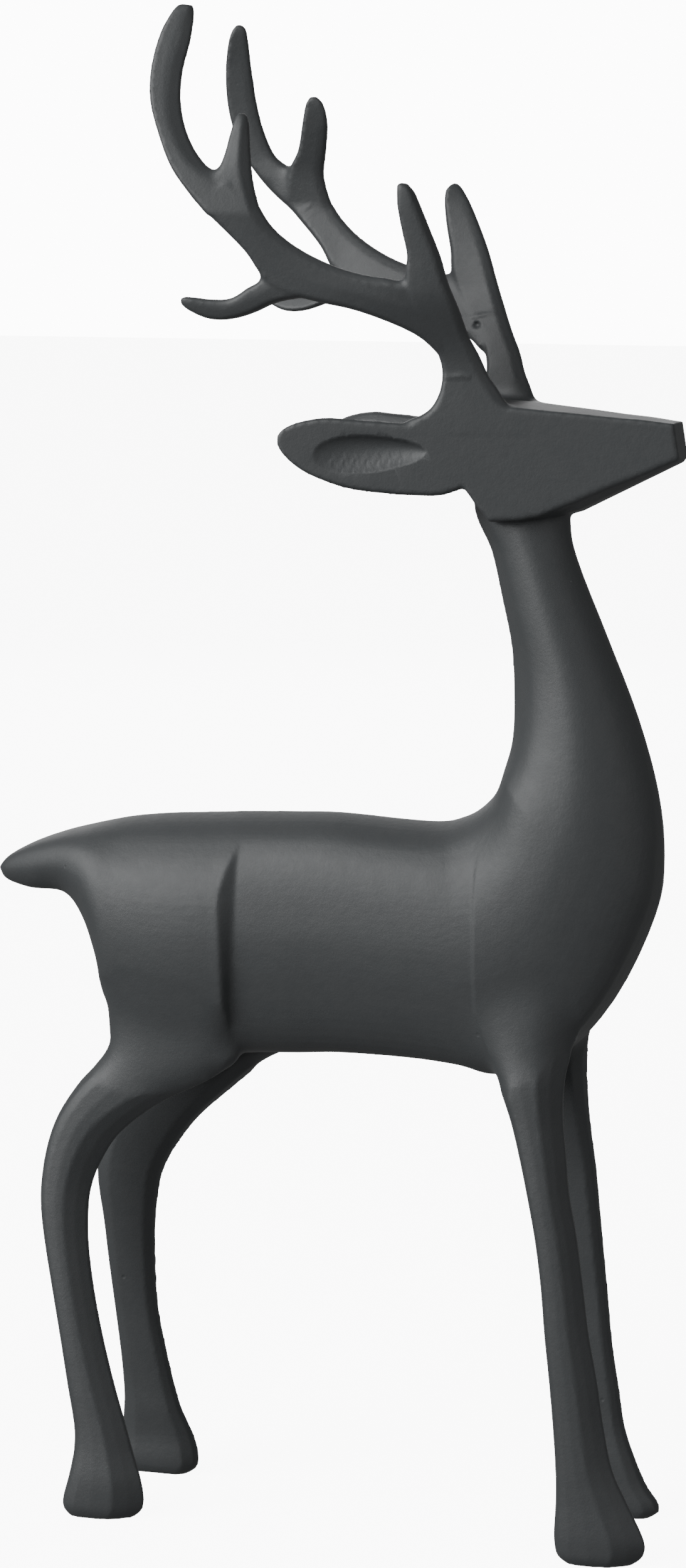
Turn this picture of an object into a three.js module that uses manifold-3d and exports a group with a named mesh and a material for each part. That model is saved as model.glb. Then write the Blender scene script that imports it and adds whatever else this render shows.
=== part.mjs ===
// Reindeer figurine: a standing reindeer with a slab-sided head and branched antlers, cast in one piece.
// Millimetres. +X is the way it faces, +Y its left side, +Z up. The origin is on the floor, at the middle
// of the figure's bounding box.
import * as THREE from "three";
import { mergeVertices } from "three/addons/utils/BufferGeometryUtils.js";
import Module from "manifold-3d";

const wasm = await Module();
wasm.setup();

// The one real size. Every form below is drawn in a side view where the figure is DRAWN_HEIGHT high: x
// forward, z up from the floor, and "out" sideways from the middle plane.
const HEIGHT = 380;
const DRAWN_HEIGHT = 972.5;
const UNIT = HEIGHT / DRAWN_HEIGHT;

// The sides of the head are flat, run on through the ears and close towards the muzzle. Their edges are
// narrowly broken, and the jaw rises by the share JAW_ROUNDING from the middle to half its width.
const HEAD_HALF_WIDTH = 35;
const HEAD_WIDEST_X = 100;
const HEAD_TAPER = 0.185;
const HEAD_EDGE = 0.8;
const JAW_ROUNDING = 0.2;
const EAR_THICKNESS = 11;
const EAR_HOLLOW = { x: 33, z: 696, length: 33, depth: 5, height: 10.5 };

// Each antler is a thick plate that splays as it sweeps back from its root and leans out as it rises, up to
// the crotch of the two upper tines, then leans in again. Below its fork it is drawn in by the tuck, so that
// it starts flush with the side of the head; the tuck also shifts it along by a share of itself.
const ANTLER_ROOT = { x: 100, z: 740, out: 38 };
const ANTLER_SPLAY = 0.184;
const ANTLER_LEAN = 0.12;
const ANTLER_TURN = { z: 845, lean: -0.35 };
const ANTLER_TUCK = { depth: 8.7, top: 800, reach: 58, shift: 0.26 };
const ANTLER_INNER_BEVEL = 5.5;

// The side of the flank, and the step that falls to it from the front of the haunch: between FROM and TO the
// haunch's face is cut by a slope that starts at the crease. Both change with the share down the side.
const FLANK_HALF_WIDTH = 43;
const HAUNCH_HALF_WIDTH = 50.4;
const STEP = {
  from: -76,
  to: -57,
  shares: [0.3, 0.6, 0.87],
  crease: [-59.8, -61.2, -65],
  slope: [0.71, 1.5, 3.2],
};

// Below the haunch the hind legs' bevel is shallow, and it steepens between these two heights.
const SHALLOW_BEVEL = { low: 235, high: 295 };

const RIGHT = -1;
const LEFT = 1;

const BODY = new THREE.MeshStandardMaterial({ color: 0x3a3d3f, roughness: 0.48, metalness: 0.15 });

// Trunk and neck: [back x, back z, belly or chest x, z, half width, fullness] from the tail's tip to inside
// the head. The fullness is 1 at the haunch, 0 at the flank and -1 at the neck.
const TRUNK = [
  [-236, 417.5, -236, 414, 3, 0],
  [-228, 425.4, -230, 408, 11, 0],
  [-209, 435.4, -212, 403.5, 20, 0],
  [-187, 443.4, -186, 402.3, 29, 0.2],
  [-170, 448, -170.8, 386, 37, 0.5],
  [-157, 451.2, -159.5, 357, 43.5, 0.85],
  [-141, 454.5, -151, 322, 47.5, 1],
  [-118, 457.3, -123, 305.5, 50, 1],
  [-96, 458.8, -97, 302, 50.8, 1],
  [-80, 459.8, -81, 302, 50.6, 1],
  [-74, 460.2, -75, 302, 50.4, 1],
  [-68, 460.7, -69, 302, 50.3, 1],
  [-62, 461, -63, 302.2, 50, 1],
  [-56, 461.3, -57, 302.8, 43, 0],
  [-30, 462.3, -30, 304.3, 43, 0],
  [0, 463, 0, 306.3, 43.2, 0],
  [45, 460.5, 47, 306, 44.8, 0.1],
  [68, 460.5, 84, 303.6, 46.3, 0.35],
  [80, 463.5, 110, 299.8, 47, 0.7],
  [91, 469, 145, 312, 47.3, 0.8],
  [102, 480, 179.5, 350, 47, 0.5],
  [108.2, 497, 205.4, 404, 44.7, 0],
  [112.8, 516, 211.2, 440, 41, -0.4],
  [113.4, 542, 207.8, 482, 35.5, -0.8],
  [111.7, 573, 194.5, 530, 30, -1],
  [105.2, 604, 173.5, 582, 26, -1],
  [98, 634, 155, 628, 23, -1],
  [87.5, 657, 150, 652, 21.5, -1],
  [84, 690, 151, 690, 18, -1],
];

// Legs: [back x, z, front x, z, out to the middle of the leg, half thickness, place of the front edge] from
// the top down to the hoof. The front edge is where the flat outer face breaks into the front bevel.
const RIGHT_HIND_LEG = [
  [-155.4, 372, -83.4, 376, 15, 15, 0.9],
  [-154.5, 345, -76.5, 350, 19, 16.5, 0.92],
  [-152.3, 324, -67.3, 325, 24.3, 14.2, 0.92],
  [-151.5, 308, -59.8, 303, 26, 13, 0.84],
  [-159.4, 295, -82.7, 288, 27.5, 12.3, 0.76],
  [-171.7, 281, -115.5, 271, 29.2, 12, 0.68],
  [-183.9, 262, -141.2, 251, 31.2, 11.7, 0.62],
  [-190.9, 242, -154.4, 232, 33.4, 11.5, 0.6],
  [-194.2, 219, -161.2, 214, 36.2, 11.2, 0.6],
  [-193.9, 199, -162.9, 197, 38.6, 11, 0.6],
  [-190, 175, -161.5, 173, 41.4, 10.5, 0.6],
  [-183.7, 145, -156.2, 143, 44.8, 10.2, 0.6],
  [-177.6, 115, -149.1, 114, 47.7, 10, 0.6],
  [-172, 85, -141, 86, 50, 10, 0.62],
  [-167.2, 60, -132.8, 61, 51.8, 10, 0.64],
  [-166.9, 44, -127.5, 44, 53, 10.5, 0.66],
  [-170.2, 26, -121.3, 27, 55, 11, 0.68],
  [-174.2, 12, -118.8, 13, 55, 11.5, 0.68],
  [-174.2, 5, -120.8, 5, 55, 11, 0.68],
  [-170.2, 0, -126.8, 0, 55, 9, 0.68],
];
const LEFT_HIND_LEG = [
  [-148.6, 372, -76.6, 376, 15, 15, 0.9],
  [-149.5, 345, -69.5, 350, 19, 16.5, 0.92],
  [-149.7, 324, -58.7, 325, 24.3, 14.2, 0.92],
  [-148.2, 309, -40.2, 305, 26, 13, 0.84],
  [-153.3, 296, -62.9, 291, 27.5, 12.3, 0.76],
  [-161.5, 280, -88.1, 270, 29.2, 12, 0.68],
  [-170.8, 261, -109.2, 251, 31.2, 11.7, 0.62],
  [-177.6, 240, -124.5, 232, 33.4, 11.5, 0.6],
  [-183.3, 219, -135.7, 213, 36.2, 11.2, 0.6],
  [-184.1, 199, -140.6, 196, 38.6, 11, 0.6],
  [-181.5, 174, -144, 172, 41.4, 10.5, 0.6],
  [-179.3, 144, -145.3, 143, 44.8, 10.2, 0.6],
  [-176.4, 114, -144.4, 113, 47.7, 10, 0.6],
  [-173.5, 84, -139.5, 84, 50, 10, 0.62],
  [-172, 60, -134.5, 60, 51.8, 10, 0.64],
  [-172.3, 44, -129.8, 44, 53, 10.5, 0.66],
  [-175, 26, -122.5, 27, 55, 11, 0.68],
  [-177, 12, -119, 13, 55, 11.5, 0.68],
  [-176, 5, -120.5, 5, 55, 11, 0.68],
  [-171, 0, -127, 0, 55, 9, 0.68],
];
const RIGHT_FORE_LEG = [
  [104, 400, 150, 404, 18, 18, 0.4],
  [101, 372, 164, 376, 22, 19.5, 0.5],
  [100, 345, 168, 350, 25.5, 18.8, 0.66],
  [106, 322, 161, 324, 30, 16.5, 0.68],
  [115, 301, 157, 303, 35, 15.5, 0.68],
  [124, 279, 157, 280, 38, 14, 0.66],
  [131, 255, 160, 257, 41, 13, 0.64],
  [137, 231, 163, 233, 44, 12, 0.64],
  [142.5, 205, 168.5, 207, 46, 11.5, 0.64],
  [147, 175, 173.5, 176, 48, 11, 0.64],
  [150, 145, 178, 146, 50, 10.5, 0.64],
  [153.5, 115, 184, 116, 51, 10.5, 0.64],
  [156.5, 85, 189, 86, 52, 10.5, 0.64],
  [158.5, 58, 195, 60, 53, 10.5, 0.64],
  [158.5, 38, 205, 39, 53, 11, 0.66],
  [157.5, 20, 214.5, 21, 53.5, 11.5, 0.68],
  [158, 10, 217, 12, 53.5, 11.5, 0.68],
  [160, 4, 214.5, 5, 53.5, 11, 0.68],
  [165, 0, 208, 0, 53.5, 9, 0.68],
];
const LEFT_FORE_LEG = [
  [104, 400, 150, 404, 18, 18, 0.4],
  [101, 372, 164, 376, 22, 19.5, 0.5],
  [100, 345, 166, 350, 25.5, 18.8, 0.66],
  [103, 322, 158.5, 324, 30, 16.5, 0.68],
  [107, 302, 154.5, 303, 35, 15.5, 0.68],
  [114, 279, 154.5, 280, 38, 14, 0.66],
  [120, 255, 156, 257, 41, 13, 0.64],
  [125, 231, 158.5, 233, 44, 12, 0.64],
  [129, 205, 160.5, 207, 46, 11.5, 0.64],
  [133, 175, 163, 176, 48, 11, 0.64],
  [136, 145, 165.5, 146, 50, 10.5, 0.64],
  [139, 115, 168.1, 116, 51, 10.5, 0.64],
  [141, 85, 172.6, 86, 52, 10.5, 0.64],
  [142.5, 58, 176.5, 60, 53, 10.5, 0.64],
  [142.5, 38, 183.7, 39, 53, 11, 0.66],
  [141.5, 20, 191.7, 21, 53.5, 11.5, 0.68],
  [142, 10, 198.5, 12, 53.5, 11.5, 0.68],
  [144, 4, 200, 5, 53.5, 11, 0.68],
  [149, 0, 194, 0, 53.5, 9, 0.68],
];

// Head: [x at the jaw, x at the top, z under the jaw, jaw edge, top edge, crown] from the poll to the muzzle.
const HEAD = [
  [86, 78, 690, 690, 715, 717],
  [90, 82, 674.5, 676.5, 722.5, 727],
  [98, 92, 663, 665, 725.5, 728.5],
  [106, 104, 653, 655, 725.5, 728.5],
  [124, 122, 652, 656, 724.5, 727.5],
  [136, 137, 653.5, 658.5, 723, 726],
  [158, 160, 660, 667.5, 721, 723.7],
  [178, 180, 670, 676.5, 719, 721.3],
  [199, 200, 680.5, 685, 717.5, 719.2],
  [216, 212, 689, 692.5, 716, 717.4],
  [222, 218, 692, 695, 715.5, 716.6],
];

// Ear: [x, bottom z, top z] from inside the head to the tip.
const EAR = [
  [100, 679, 711],
  [78, 670.5, 715],
  [60, 669.8, 714.7],
  [40, 671, 715.7],
  [20, 673.5, 717],
  [5, 678, 717.8],
  [-8, 683.8, 715.8],
  [-16.5, 690, 713.1],
  [-22, 696, 709.8],
  [-24.8, 701, 705.8],
];

// Antler branches: [front or upper x, z, rear or lower x, z, half thickness, tilt, outer bevel] from root to
// tip. The tilt raises the outer face's front and lowers its rear.
const STEM = [
  [138, 708, 46, 710, 6, 0, 5],
  [130, 717, 56, 716.5, 6, 0, 5],
  [122.5, 724, 64.5, 720, 6, 0, 5],
  [116, 730, 70.2, 724, 6, 0, 5],
  [111.5, 737, 74.7, 730.5, 6, 0, 5],
  [106.2, 745, 77.7, 739, 6, 0, 4.5],
  [101.7, 756, 78.2, 751, 6.1, 0, 4],
  [95, 770, 72.5, 768, 6.3, 0, 3.2],
  [90, 786, 62.5, 789, 6.5, 0, 2.8],
  [84, 802, 58, 806, 6.5, 0.05, 2.8],
  [81.2, 818, 60.2, 819, 6.4, 0.08, 2.8],
  [74.7, 834, 57.7, 834, 6.2, 0.08, 2.8],
  [69.2, 848, 55.2, 848, 5.9, 0.08, 2.6],
  [65.5, 857.3, 55, 859.5, 5.2, 0.08, 2],
  [62.7, 861, 56.2, 863.3, 3.8, 0, 1.4],
  [61.5, 863, 59, 863, 1.6, 0, 0.6],
];
const BEAM = [
  [78, 800, 80, 754, 6, -0.1, 3.4],
  [56, 804, 63, 770, 6.4, -0.15, 3.6],
  [33, 807, 30, 784, 6.4, -0.18, 3.8],
  [12, 813.5, 2, 790.5, 6.4, -0.18, 3.8],
  [-8, 824, -24, 799, 6.4, -0.15, 4],
  [-22, 836, -38, 820, 6.4, -0.1, 4.5],
  [-31, 850, -56, 839, 6.4, 0, 5],
  [-44, 866, -70.5, 853, 6.4, 0.1, 5.5],
];
const LEFT_STEM = [
  [138, 708, 46, 710, 6, 0, 5],
  [129, 717, 56, 716.5, 6, 0, 5],
  [121.5, 724, 64.5, 720, 6, 0, 5],
  [115.5, 730, 71.5, 724, 6, 0, 5],
  [112, 737, 77, 730.5, 6, 0, 5],
  [108.4, 745, 82, 739, 6, 0, 4.5],
  [105, 756, 82.8, 751, 6.1, 0, 4],
  [98.5, 770, 77, 768, 6.3, 0, 3.2],
  [92, 786, 63, 789, 6.5, 0, 2.8],
  [86, 802, 55.5, 806, 6.5, 0, 2.8],
  [80.5, 818, 54.5, 819, 6.4, 0, 2.8],
  [73.5, 834, 51.2, 834, 6.2, 0, 2.8],
  [66.5, 848, 49.2, 848, 5.9, 0, 2.6],
  [61.5, 856, 49.5, 856.5, 5.2, 0, 2],
  [58.5, 859.8, 52, 859.8, 3.8, 0, 1.4],
  [56.3, 861.4, 53.8, 861.4, 1.6, 0, 0.6],
];
const LEFT_BEAM = [
  [78, 800, 80, 754, 6, -0.1, 3.4],
  [56, 804, 63, 770, 6.4, -0.15, 3.6],
  [33, 807, 30, 784, 6.4, -0.18, 3.8],
  [12, 813.5, 2, 790.5, 6.4, -0.18, 3.8],
  [-8, 824, -24, 799, 6.4, -0.15, 4],
  [-23, 836, -38, 820, 6.4, -0.1, 4.5],
  [-33.5, 849, -56, 839, 6.4, 0, 5],
  [-45, 865, -70.5, 853, 6.4, 0.1, 5.5],
];
const BACK_TINE = [
  [6, 812, 4, 794, 6, -0.15, 3],
  [-22, 808.5, -20, 790, 6.2, -0.15, 3],
  [-36, 800.5, -36, 783, 5.8, -0.15, 3],
  [-49, 792.3, -50, 779, 5.4, -0.15, 3],
  [-62, 791.5, -63, 779, 5, -0.15, 2.5],
  [-73, 792.8, -74, 783.5, 4.2, -0.1, 2],
  [-78.5, 793, -79.5, 787.5, 2.8, 0, 1],
  [-80.5, 791.5, -80.8, 789.8, 1.4, 0, 0.5],
];
const LEFT_BACK_TINE = [
  [6, 812, 4, 794, 6, -0.15, 3],
  [-22, 804, -20, 790, 6.2, -0.15, 3],
  [-36, 797, -36, 783, 5.8, -0.15, 3],
  [-49, 792.3, -50, 779, 5.4, -0.15, 3],
  [-62, 791.5, -63, 779, 5, -0.15, 2.5],
  [-73, 792.8, -74, 783.5, 4.2, -0.1, 2],
  [-78.5, 793, -79.5, 787.5, 2.8, 0, 1],
  [-80.5, 791.5, -80.8, 789.8, 1.4, 0, 0.5],
];
const RIGHT_UPPER_TINES = [
  [
    [-36, 850, -61, 843, 6.4, 0, 5],
    [-54.5, 867.5, -73.6, 857, 6.4, -0.05, 5.5],
    [-68, 877.5, -85.3, 872.5, 6.4, -0.05, 6],
    [-78, 894, -94.1, 892, 6.2, -0.12, 6],
    [-83, 913, -101.3, 914, 5.8, -0.12, 6],
    [-83, 932, -102, 935, 5.5, -0.12, 5.5],
    [-79.5, 951, -98, 955, 5.2, -0.12, 5],
    [-78.7, 965, -92, 967.5, 4.6, -0.12, 3.5],
    [-79.5, 971, -88.5, 972, 3.2, 0, 1.4],
    [-82.5, 972.1, -86.5, 972.5, 1.4, 0, 0.6],
  ],
  [
    [-28, 842, -64, 850, 6.4, 0, 5],
    [-34.5, 862, -60, 866, 6.2, 0.08, 5.5],
    [-37.5, 879, -54, 878, 5.8, 0.16, 5.5],
    [-39, 892, -51, 892, 5, 0.16, 4],
    [-40.5, 901.5, -48.8, 901.5, 3.8, 0.1, 2.5],
    [-43, 905.5, -47, 905.5, 2, 0, 1],
  ],
];
const LEFT_UPPER_TINES = [
  [
    [-36, 850, -60, 843, 6.4, 0, 5],
    [-55, 868, -76, 857, 6.4, 0.04, 5.5],
    [-70, 877, -90, 875, 6.4, 0.08, 6],
    [-77.5, 893, -98, 893, 6.2, 0.1, 6],
    [-81.3, 911, -101.5, 912, 5.8, 0.1, 6],
    [-83, 930, -101, 932, 5.5, 0.1, 5.5],
    [-84, 947, -98, 948, 5.2, 0.1, 5],
    [-84.5, 957, -95, 956.5, 4.2, 0.05, 3],
    [-86.5, 960.8, -92, 960.5, 2.8, 0, 1.2],
    [-88.5, 962, -90.5, 962, 1.4, 0, 0.5],
  ],
  [
    [-31, 842, -66, 850, 6.4, 0, 5],
    [-36.5, 864, -62, 868, 6.2, 0.08, 5.5],
    [-33.5, 882, -53, 881, 5.8, 0.12, 5.5],
    [-31, 899, -48, 900, 5, 0.12, 4],
    [-33, 911, -45, 911, 3.8, 0.1, 2.5],
    [-37, 916, -41.5, 916, 2, 0, 1],
  ],
];

// Sections: each gives points [along 0 to 1 from the first to the second side, out -1 to 1].

// One side of the trunk from the ridge of the back to the middle of the belly, at haunch, flank and neck.
const HAUNCH_SIDE = [
  [0, 0],
  [0.01, 0.12],
  [0.03, 0.28],
  [0.06, 0.45],
  [0.09, 0.56],
  [0.12, 0.64],
  [0.16, 0.73],
  [0.21, 0.83],
  [0.27, 0.91],
  [0.34, 0.96],
  [0.42, 0.99],
  [0.49, 1],
  [0.56, 0.99],
  [0.63, 0.97],
  [0.7, 0.93],
  [0.78, 0.88],
  [0.86, 0.81],
  [0.93, 0.74],
  [0.97, 0.62],
  [1, 0],
];
const FLANK_SIDE = [
  [0, 0],
  [0.01, 0.14],
  [0.03, 0.33],
  [0.06, 0.52],
  [0.09, 0.65],
  [0.12, 0.73],
  [0.16, 0.82],
  [0.21, 0.89],
  [0.27, 0.94],
  [0.34, 0.97],
  [0.42, 1],
  [0.49, 1],
  [0.56, 0.98],
  [0.63, 0.94],
  [0.7, 0.9],
  [0.78, 0.82],
  [0.86, 0.72],
  [0.93, 0.58],
  [0.97, 0.39],
  [1, 0],
];
const NECK_SIDE = [
  [0, 0],
  [0.01, 0.07],
  [0.05, 0.2],
  [0.1, 0.37],
  [0.15, 0.54],
  [0.2, 0.68],
  [0.23, 0.76],
  [0.28, 0.82],
  [0.34, 0.9],
  [0.41, 0.95],
  [0.49, 0.99],
  [0.56, 0.99],
  [0.64, 0.95],
  [0.71, 0.89],
  [0.78, 0.79],
  [0.85, 0.65],
  [0.91, 0.49],
  [0.95, 0.33],
  [0.98, 0.18],
  [1, 0],
];

// The value of a run at a place between two of its points.
function valueAt(place, places, values) {
  const next = places.findIndex((p) => p > place);
  if (next === 0) return values[0];
  if (next < 0) return values.at(-1);
  return THREE.MathUtils.mapLinear(place, places[next - 1], places[next], values[next - 1], values[next]);
}

function trunkRing([ax, az, bx, bz, half, fullness]) {
  const other = fullness > 0 ? HAUNCH_SIDE : NECK_SIDE;
  const mix = Math.min(1, Math.abs(fullness));
  const halfRing = FLANK_SIDE.map(([along, out], i) => {
    const share = THREE.MathUtils.lerp(along, other[i][0], mix);
    const x = THREE.MathUtils.lerp(ax, bx, share);
    let wide = THREE.MathUtils.lerp(out, other[i][1], mix) * half;
    if (ax > STEP.from && ax < STEP.to) {
      const crease = valueAt(share, STEP.shares, STEP.crease);
      const slope = valueAt(share, STEP.shares, STEP.slope);
      const floor = out * FLANK_HALF_WIDTH + slope * Math.max(0, crease - x);
      wide = Math.min(HAUNCH_SIDE[i][1] * HAUNCH_HALF_WIDTH, floor);
    }
    return [share, wide];
  });
  const otherHalf = halfRing.slice(1, -1).reverse().map(([share, wide]) => [share, -wide]);
  return ring([...halfRing, ...otherHalf], ax, az, bx, bz, 1, () => 0, 1);
}

// A leg's section: flat outer face, a bevel from its front edge to the nose of the leg, a softer inner face.
function legSection(edge, shallow) {
  return [
    [0, -0.1],
    [0.03, 0.45],
    [0.1, 0.84],
    [0.21, 1.01],
    [0.42, 1.04],
    [edge, 0.95],
    [(1 + edge) / 2, 0.48 + 0.2 * shallow],
    [1, -0.15 + 0.4 * shallow],
    [0.96, -0.62],
    [0.84, -1],
    [0.25, -1],
    [0.08, -0.7],
  ];
}

// An antler's section: a flat outer face with a bevel at its front and a sharp rear edge, and a flat inner
// face with a deep bevel at its front. The bevels are shares of the width.
function plateSection(outer, inner, tilt) {
  return [
    [0, 0.4],
    [outer, 1 + 0.8 * tilt],
    [0.5, 1.03],
    [0.9, 0.98 - 0.8 * tilt],
    [0.98, 0.6 - 0.6 * tilt],
    [1, 0.1],
    [1, -0.4],
    [0.95, -0.85],
    [0.86, -1.12],
    [inner, -0.86],
    [0.2 * inner, -0.35],
    [0, -0.15],
  ];
}

// An ear's section: a flat outer face and a rounded back.
const EAR_SECTION = [
  [0, 0.5],
  [0.04, 1],
  [0.96, 1],
  [1, 0.5],
  [0.97, -0.1],
  [0.85, -0.7],
  [0.65, -1],
  [0.35, -1],
  [0.15, -0.7],
  [0.03, -0.1],
];

// A smooth run of values through rows of numbers, with a few steps between each two rows.
function smoothRows(rows, steps) {
  const channels = rows[0].map((_, i) => {
    const values = rows.map((row) => new THREE.Vector3(row[i], 0, 0));
    return new THREE.CatmullRomCurve3(values, false, "catmullrom", 0.5);
  });
  const count = (rows.length - 1) * steps;
  return Array.from({ length: count + 1 }, (_, k) => channels.map((curve) => curve.getPoint(k / count).x));
}

// A solid skinned over rings of points, closed by a fan at both ends.
function skin(rings) {
  const count = rings[0].length;
  const middles = [rings[0], rings.at(-1)].map((ring) =>
    ring.reduce((sum, p) => sum.add(p), new THREE.Vector3()).divideScalar(count),
  );
  const points = [...rings.flat(), ...middles];
  const first = rings.length * count;
  const last = (rings.length - 1) * count;
  const faces = [];
  for (let i = 0; i < count; i++) {
    const next = (i + 1) % count;
    faces.push(first, next, i, first + 1, last + i, last + next);
    for (let r = 0; r < last; r += count) {
      faces.push(r + i, r + next, r + count + next, r + i, r + count + next, r + count + i);
    }
  }
  return solid(points.flatMap((p) => [p.x, p.y, p.z]), faces);
}

// A manifold solid with its faces pointing out, whichever way round they were listed.
function solid(positions, faces) {
  const make = (triangles) =>
    new wasm.Manifold(
      new wasm.Mesh({
        numProp: 3,
        vertProperties: new Float32Array(positions),
        triVerts: new Uint32Array(triangles),
      }),
    );
  const made = make(faces);
  if (made.volume() > 0) return made;
  const turned = [];
  for (let i = 0; i < faces.length; i += 3) turned.push(faces[i], faces[i + 2], faces[i + 1]);
  return make(turned);
}

function solidOf(geometry) {
  geometry.deleteAttribute("normal");
  geometry.deleteAttribute("uv");
  const merged = mergeVertices(geometry, 1e-3);
  return solid([...merged.attributes.position.array], [...merged.index.array]);
}

// One ring between two points of the side view. "out" gives the sideways place at a point of the side view,
// which is the share "along" of the way from the first of the two.
function ring(section, fromX, fromZ, toX, toZ, side, out, half) {
  return section.map(([along, across]) => {
    const x = THREE.MathUtils.lerp(fromX, toX, along);
    const z = THREE.MathUtils.lerp(fromZ, toZ, along);
    return new THREE.Vector3(x, side * (out(x, z, along) + across * half), z).multiplyScalar(UNIT);
  });
}

function trunk() {
  return skin(smoothRows(TRUNK, 1).map(trunkRing));
}

function leg(stations, side, hind) {
  return skin(
    smoothRows(stations, 1).map(([ax, az, bx, bz, out, half, edge]) => {
      const rise = (az - SHALLOW_BEVEL.low) / (SHALLOW_BEVEL.high - SHALLOW_BEVEL.low);
      const shallow = hind ? THREE.MathUtils.clamp(rise, 0, 1) : 0;
      return ring(legSection(edge, shallow), ax, az, bx, bz, side, () => out, half);
    }),
  );
}

function headOut(x) {
  return HEAD_HALF_WIDTH + HEAD_TAPER * (HEAD_WIDEST_X - x);
}

// The head: flat sides between the jaw edge and the top edge, a low crown and a rounded jaw.
function head() {
  const rings = HEAD.map(([jawX, topX, under, jawEdge, topEdge, crown]) => {
    const side = [
      [0, crown],
      [0.5, crown - 0.35 * (crown - topEdge)],
      [0.96, topEdge + HEAD_EDGE],
      [1, topEdge - HEAD_EDGE],
      [1, jawEdge + HEAD_EDGE],
      [0.95, jawEdge - HEAD_EDGE],
      [0.5, THREE.MathUtils.lerp(under, jawEdge, JAW_ROUNDING)],
      [0, under],
    ];
    const otherSide = side.slice(1, -1).reverse().map(([out, z]) => [-out, z]);
    return [...side, ...otherSide].map(([out, z]) => {
      const x = THREE.MathUtils.mapLinear(z, under, crown, jawX, topX);
      return new THREE.Vector3(x, out * headOut(x), z).multiplyScalar(UNIT);
    });
  });
  return skin(rings);
}

function ear(side) {
  const half = EAR_THICKNESS / 2;
  const middle = (x) => headOut(x) - half;
  const leaf = skin(
    smoothRows(EAR, 2).map(([x, low, high]) => ring(EAR_SECTION, x, low, x, high, side, middle, half)),
  );
  const { x, z, length, depth, height } = EAR_HOLLOW;
  const scoop = new THREE.SphereGeometry(1, 20, 12);
  scoop.scale(length * UNIT, depth * UNIT, height * UNIT);
  scoop.translate(x * UNIT, side * headOut(x) * UNIT, z * UNIT);
  return leaf.subtract(solidOf(scoop));
}

// How far an antler's middle plane is drawn in near its root.
function antlerTuck(z) {
  const near = THREE.MathUtils.clamp((ANTLER_TUCK.top - z) / ANTLER_TUCK.reach, 0, 1);
  const most = Math.max(0, ANTLER_TUCK.depth + ANTLER_LEAN * (z - ANTLER_ROOT.z));
  return most * near * near * (3 - 2 * near);
}

function antlerOut(x, z) {
  const turned = x < 0 ? ANTLER_TURN.lean * Math.max(0, z - ANTLER_TURN.z) : 0;
  const lean = ANTLER_LEAN * (z - ANTLER_ROOT.z) + turned;
  return ANTLER_ROOT.out + ANTLER_SPLAY * (ANTLER_ROOT.x - x) + lean - antlerTuck(z);
}

function tineRing([ax, az, bx, bz, thickness, tilt, bevel], side) {
  const width = Math.hypot(ax - bx, az - bz);
  const outer = Math.min(0.35, bevel / width);
  const inner = Math.min(0.35, ANTLER_INNER_BEVEL / width);
  return plateSection(outer, inner, tilt).map(([along, across]) => {
    const x = THREE.MathUtils.lerp(ax, bx, along);
    const z = THREE.MathUtils.lerp(az, bz, along);
    const shift = side * ANTLER_TUCK.shift * antlerTuck(z);
    const out = side * (antlerOut(x, z) + across * thickness);
    return new THREE.Vector3(x + shift, out, z).multiplyScalar(UNIT);
  });
}

function antler(side) {
  const lower = side === RIGHT ? [STEM, BEAM, BACK_TINE] : [LEFT_STEM, LEFT_BEAM, LEFT_BACK_TINE];
  const upper = side === RIGHT ? RIGHT_UPPER_TINES : LEFT_UPPER_TINES;
  const branches = [...lower, ...upper].map((stations) =>
    skin(smoothRows(stations, 1).map((row) => tineRing(row, side))),
  );
  return branches.reduce((whole, branch) => whole.add(branch));
}

function casting() {
  const parts = [trunk(), head()];
  for (const side of [RIGHT, LEFT]) parts.push(ear(side), antler(side));
  parts.push(leg(RIGHT_HIND_LEG, RIGHT, true), leg(LEFT_HIND_LEG, LEFT, true));
  parts.push(leg(RIGHT_FORE_LEG, RIGHT, false), leg(LEFT_FORE_LEG, LEFT, false));
  const whole = parts.reduce((sum, part) => sum.add(part));
  const { vertProperties, triVerts } = whole.getMesh();
  const geometry = new THREE.BufferGeometry();
  geometry.setAttribute("position", new THREE.BufferAttribute(new Float32Array(vertProperties), 3));
  geometry.setIndex(new THREE.BufferAttribute(new Uint32Array(triVerts), 1));
  geometry.computeBoundingBox();
  const { min, max } = geometry.boundingBox;
  geometry.translate(-(min.x + max.x) / 2, -(min.y + max.y) / 2, -min.z);
  geometry.computeVertexNormals();
  return geometry;
}

const reindeer = new THREE.Mesh(casting(), BODY);
reindeer.name = "reindeer";
const figure = new THREE.Group();
figure.add(reindeer);

export default figure;
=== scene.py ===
# A standing reindeer figurine, cast in one piece and painted in matt anthracite.
import math

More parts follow.
